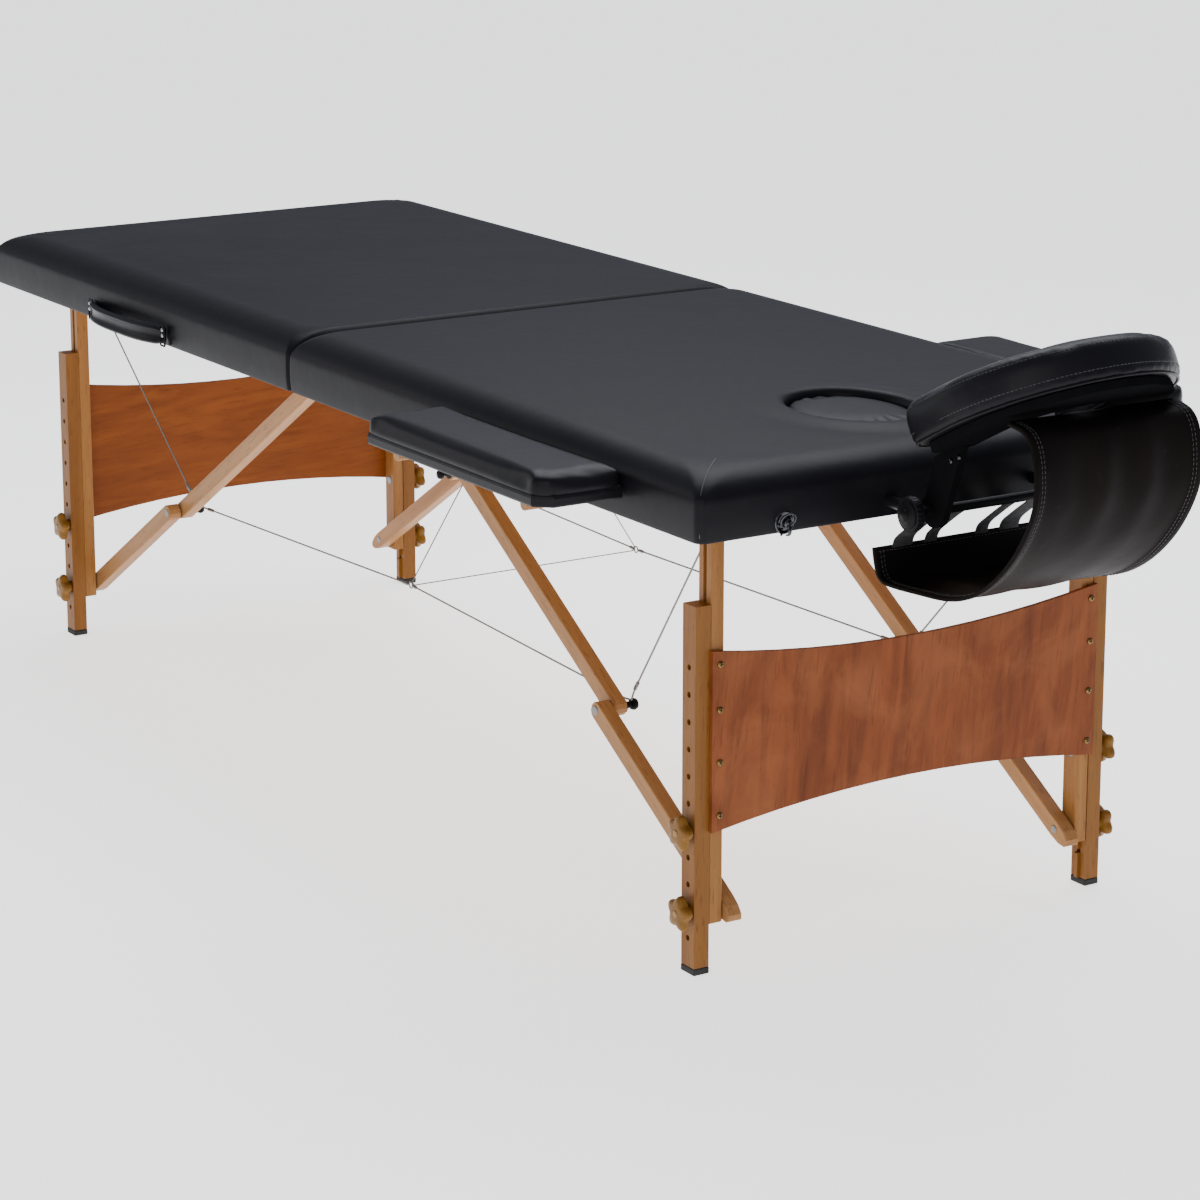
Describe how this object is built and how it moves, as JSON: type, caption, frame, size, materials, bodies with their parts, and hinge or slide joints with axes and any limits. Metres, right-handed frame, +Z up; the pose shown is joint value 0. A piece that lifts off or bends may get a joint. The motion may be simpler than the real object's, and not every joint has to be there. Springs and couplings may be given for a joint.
{
  "type": "portable massage table",
  "caption": "Two-section folding massage table with wooden legs and braces, padded vinyl top, side armrests, an arm sling and a tilting horseshoe face cradle.",
  "frame": {"origin": "centre of the whole object's bounding box, on the floor", "axes": "+X along the table towards the face cradle, +Y across it away from the carry handle, +Z up"},
  "size_m": [2.1289, 0.912, 0.7577],
  "materials": {
    "head_pad": "soft black vinyl, slight sheen",
    "head_deck": "bare thin plywood",
    "head_frame": "varnished beech",
    "hinge_leaf_head": "plain steel",
    "end_panel_head": "stained reddish brown plywood",
    "foot_pad": "soft black vinyl, slight sheen",
    "foot_deck": "bare thin plywood",
    "foot_frame": "varnished beech",
    "hinge_leaf_foot": "plain steel",
    "end_panel_foot": "stained reddish brown plywood",
    "leg_head_near": "varnished beech",
    "leg_extension_head_near": "varnished beech",
    "rubber_foot_head_near": "matt black",
    "star_knob_head_near_upper": "pale varnished wood",
    "star_knob_head_near_lower": "pale varnished wood",
    "upper_brace_head_near": "varnished beech",
    "lower_brace_head_near": "varnished beech",
    "knuckle_nut_head_near": "black, satin",
    "brace_cable_head_near": "plain steel",
    "leg_head_far": "varnished beech",
    "leg_extension_head_far": "varnished beech",
    "rubber_foot_head_far": "matt black",
    "star_knob_head_far_upper": "pale varnished wood",
    "star_knob_head_far_lower": "pale varnished wood",
    "upper_brace_head_far": "varnished beech",
    "lower_brace_head_far": "varnished beech",
    "knuckle_nut_head_far": "black, satin",
    "brace_cable_head_far": "plain steel",
    "leg_foot_near": "varnished beech",
    "leg_extension_foot_near": "varnished beech",
    "rubber_foot_foot_near": "matt black",
    "star_knob_foot_near_upper": "pale varnished wood",
    "star_knob_foot_near_lower": "pale varnished wood",
    "upper_brace_foot_near": "varnished beech",
    "lower_brace_foot_near": "varnished beech",
    "knuckle_nut_foot_near": "black, satin",
    "brace_cable_foot_near": "plain steel",
    "leg_foot_far": "varnished beech",
    "leg_extension_foot_far": "varnished beech",
    "rubber_foot_foot_far": "matt black",
    "star_knob_foot_far_upper": "pale varnished wood",
    "star_knob_foot_far_lower": "pale varnished wood",
    "upper_brace_foot_far": "varnished beech",
    "lower_brace_foot_far": "varnished beech",
    "knuckle_nut_foot_far": "black, satin",
    "brace_cable_foot_far": "plain steel",
    "face_plug": "soft black vinyl, slight sheen",
    "hinge_pin": "plain steel",
    "yoke_cable": "plain steel",
    "carry_handle": "soft black vinyl, slight sheen",
    "latch_near": "bright plate",
    "armrest_pad_near": "soft black vinyl, slight sheen",
    "armrest_board_near": "varnished beech",
    "latch_far": "bright plate",
    "armrest_pad_far": "soft black vinyl, slight sheen",
    "armrest_board_far": "varnished beech",
    "cradle_base": "black, satin",
    "cradle_platform": "black, satin",
    "cradle_cushion": "soft black vinyl, slight sheen",
    "arm_sling": "soft black vinyl, slight sheen"
  },
  "bodies": {
    "head_half": {"head_pad": "head_pad", "head_deck": "head_deck", "head_frame": "head_frame", "hinge_leaf_head": "hinge_leaf_head", "hinge_pin": "hinge_pin"},
    "foot_half": {"foot_pad": "foot_pad", "foot_deck": "foot_deck", "foot_frame": "foot_frame", "hinge_leaf_foot": "hinge_leaf_foot", "carry_handle": "carry_handle"},
    "head_legs": {"leg_head_near": "leg_head_near", "leg_head_far": "leg_head_far", "end_panel_head": "end_panel_head"},
    "head_upper_braces": {"upper_brace_head_near": "upper_brace_head_near", "knuckle_nut_head_near": "knuckle_nut_head_near", "brace_cable_head_near": "brace_cable_head_near", "upper_brace_head_far": "upper_brace_head_far", "knuckle_nut_head_far": "knuckle_nut_head_far", "brace_cable_head_far": "brace_cable_head_far"},
    "head_lower_braces": {"lower_brace_head_near": "lower_brace_head_near", "lower_brace_head_far": "lower_brace_head_far"},
    "foot_legs": {"leg_foot_near": "leg_foot_near", "leg_foot_far": "leg_foot_far", "end_panel_foot": "end_panel_foot"},
    "foot_upper_braces": {"upper_brace_foot_near": "upper_brace_foot_near", "knuckle_nut_foot_near": "knuckle_nut_foot_near", "brace_cable_foot_near": "brace_cable_foot_near", "upper_brace_foot_far": "upper_brace_foot_far", "knuckle_nut_foot_far": "knuckle_nut_foot_far", "brace_cable_foot_far": "brace_cable_foot_far"},
    "foot_lower_braces": {"lower_brace_foot_near": "lower_brace_foot_near", "lower_brace_foot_far": "lower_brace_foot_far"},
    "yoke": {"yoke_cable": "yoke_cable"},
    "extension_head_near": {"leg_extension_head_near": "leg_extension_head_near", "rubber_foot_head_near": "rubber_foot_head_near"},
    "knob_head_near_upper": {"star_knob_head_near_upper": "star_knob_head_near_upper"},
    "knob_head_near_lower": {"star_knob_head_near_lower": "star_knob_head_near_lower"},
    "extension_head_far": {"leg_extension_head_far": "leg_extension_head_far", "rubber_foot_head_far": "rubber_foot_head_far"},
    "knob_head_far_upper": {"star_knob_head_far_upper": "star_knob_head_far_upper"},
    "knob_head_far_lower": {"star_knob_head_far_lower": "star_knob_head_far_lower"},
    "extension_foot_near": {"leg_extension_foot_near": "leg_extension_foot_near", "rubber_foot_foot_near": "rubber_foot_foot_near"},
    "knob_foot_near_upper": {"star_knob_foot_near_upper": "star_knob_foot_near_upper"},
    "knob_foot_near_lower": {"star_knob_foot_near_lower": "star_knob_foot_near_lower"},
    "extension_foot_far": {"leg_extension_foot_far": "leg_extension_foot_far", "rubber_foot_foot_far": "rubber_foot_foot_far"},
    "knob_foot_far_upper": {"star_knob_foot_far_upper": "star_knob_foot_far_upper"},
    "knob_foot_far_lower": {"star_knob_foot_far_lower": "star_knob_foot_far_lower"},
    "latch_body_near": {"latch_near": "latch_near"},
    "armrest_near": {"armrest_pad_near": "armrest_pad_near", "armrest_board_near": "armrest_board_near"},
    "latch_body_far": {"latch_far": "latch_far"},
    "armrest_far": {"armrest_pad_far": "armrest_pad_far", "armrest_board_far": "armrest_board_far"},
    "plug": {"face_plug": "face_plug"},
    "cradle_mount": {"cradle_base": "cradle_base"},
    "cradle": {"cradle_platform": "cradle_platform", "cradle_cushion": "cradle_cushion"},
    "sling": {"arm_sling": "arm_sling"}
  },
  "joints": [
    {"name": "fold", "type": "hinge", "parent": "head_half", "child": "foot_half", "pos_m": [-0.1394, 0, 0.5155], "axis": [0, -1, 0], "range_deg": [0, 150]},
    {"name": "head_legs_fold", "type": "hinge", "parent": "head_half", "child": "head_legs", "pos_m": [0.6842, 0, 0.54], "axis": [0, 1, 0], "range_deg": [0, 90.01]},
    {"name": "head_upper_braces_fold", "type": "hinge", "parent": "head_half", "child": "head_upper_braces", "pos_m": [-0.0742, 0, 0.547], "axis": [0, -1, 0], "range_deg": [0, 32.56], "deforming": ["brace_cable_head_near", "brace_cable_head_far"]},
    {"name": "head_lower_braces_fold", "type": "hinge", "parent": "head_legs", "child": "head_lower_braces", "pos_m": [0.683, 0, 0.074], "axis": [0, 1, 0], "range_deg": [0, 56.02]},
    {"name": "foot_legs_fold", "type": "hinge", "parent": "foot_half", "child": "foot_legs", "pos_m": [-0.963, 0, 0.54], "axis": [0, -1, 0], "range_deg": [0, 90.01]},
    {"name": "foot_upper_braces_fold", "type": "hinge", "parent": "foot_half", "child": "foot_upper_braces", "pos_m": [-0.2046, 0, 0.547], "axis": [0, 1, 0], "range_deg": [0, 32.56], "deforming": ["brace_cable_foot_near", "brace_cable_foot_far"]},
    {"name": "foot_lower_braces_fold", "type": "hinge", "parent": "foot_legs", "child": "foot_lower_braces", "pos_m": [-0.9618, 0, 0.074], "axis": [0, -1, 0], "range_deg": [0, 56.02]},
    {"name": "yoke_swing", "type": "hinge", "parent": "head_half", "child": "yoke", "pos_m": [-0.1394, 0, 0.5155], "axis": [0, -1, 0], "range_deg": [0, 75.01]},
    {"name": "height_head_near", "type": "slide", "parent": "head_legs", "child": "extension_head_near", "axis": [0, 0, -1], "range_m": [-0.0312, 0.1872]},
    {"name": "turn_head_near_upper", "type": "hinge", "parent": "head_legs", "child": "knob_head_near_upper", "pos_m": [0.6842, -0.2889, 0.1665], "axis": [0, -1, 0], "continuous": true},
    {"name": "turn_head_near_lower", "type": "hinge", "parent": "head_legs", "child": "knob_head_near_lower", "pos_m": [0.6842, -0.2889, 0.0729], "axis": [0, -1, 0], "continuous": true},
    {"name": "height_head_far", "type": "slide", "parent": "head_legs", "child": "extension_head_far", "axis": [0, 0, -1], "range_m": [-0.0312, 0.1872]},
    {"name": "turn_head_far_upper", "type": "hinge", "parent": "head_legs", "child": "knob_head_far_upper", "pos_m": [0.6842, 0.2889, 0.1665], "axis": [0, 1, 0], "continuous": true},
    {"name": "turn_head_far_lower", "type": "hinge", "parent": "head_legs", "child": "knob_head_far_lower", "pos_m": [0.6842, 0.2889, 0.0729], "axis": [0, 1, 0], "continuous": true},
    {"name": "height_foot_near", "type": "slide", "parent": "foot_legs", "child": "extension_foot_near", "axis": [0, 0, -1], "range_m": [-0.0312, 0.1872]},
    {"name": "turn_foot_near_upper", "type": "hinge", "parent": "foot_legs", "child": "knob_foot_near_upper", "pos_m": [-0.963, -0.2889, 0.1665], "axis": [0, -1, 0], "continuous": true},
    {"name": "turn_foot_near_lower", "type": "hinge", "parent": "foot_legs", "child": "knob_foot_near_lower", "pos_m": [-0.963, -0.2889, 0.0729], "axis": [0, -1, 0], "continuous": true},
    {"name": "height_foot_far", "type": "slide", "parent": "foot_legs", "child": "extension_foot_far", "axis": [0, 0, -1], "range_m": [-0.0312, 0.1872]},
    {"name": "turn_foot_far_upper", "type": "hinge", "parent": "foot_legs", "child": "knob_foot_far_upper", "pos_m": [-0.963, 0.2889, 0.1665], "axis": [0, 1, 0], "continuous": true},
    {"name": "turn_foot_far_lower", "type": "hinge", "parent": "foot_legs", "child": "knob_foot_far_lower", "pos_m": [-0.963, 0.2889, 0.0729], "axis": [0, 1, 0], "continuous": true},
    {"name": "latch_turn_near", "type": "hinge", "parent": "head_half", "child": "latch_body_near", "pos_m": [0.7859, -0.236, 0.531], "axis": [1, 0, 0], "range_deg": [-90, 90]},
    {"name": "armrest_pull_near", "type": "slide", "parent": "head_half", "child": "armrest_near", "axis": [0, -1, 0], "range_m": [0, 0.06]},
    {"name": "latch_turn_far", "type": "hinge", "parent": "head_half", "child": "latch_body_far", "pos_m": [0.7859, 0.236, 0.531], "axis": [1, 0, 0], "range_deg": [-90, 90]},
    {"name": "armrest_pull_far", "type": "slide", "parent": "head_half", "child": "armrest_far", "axis": [0, 1, 0], "range_m": [0, 0.06]},
    {"name": "plug_lift", "type": "slide", "parent": "head_half", "child": "plug", "axis": [0, 0, 1], "range_m": [0, 0.06]},
    {"name": "cradle_pull", "type": "slide", "parent": "head_half", "child": "cradle_mount", "axis": [1, 0, 0], "range_m": [0, 0.12]},
    {"name": "cradle_tilt", "type": "hinge", "parent": "cradle_mount", "child": "cradle", "pos_m": [0.8506, 0, 0.5375], "axis": [0, -1, 0], "range_deg": [-45, 5]},
    {"name": "sling_hang", "type": "hinge", "parent": "cradle", "child": "sling", "pos_m": [1.0026, 0, 0.664], "axis": [0, -1, 0], "range_deg": [-5, 45.01]}
  ],
  "couplings": [
    {"joint": "head_legs_fold", "follows": "fold", "ratio": 0.6},
    {"joint": "head_upper_braces_fold", "follows": "fold", "ratio": 0.21695},
    {"joint": "head_lower_braces_fold", "follows": "fold", "ratio": 0.3734},
    {"joint": "foot_legs_fold", "follows": "fold", "ratio": 0.6},
    {"joint": "foot_upper_braces_fold", "follows": "fold", "ratio": 0.21695},
    {"joint": "foot_lower_braces_fold", "follows": "fold", "ratio": 0.3734},
    {"joint": "yoke_swing", "follows": "fold", "ratio": 0.5},
    {"joint": "sling_hang", "follows": "cradle_tilt", "ratio": -1}
  ]
}
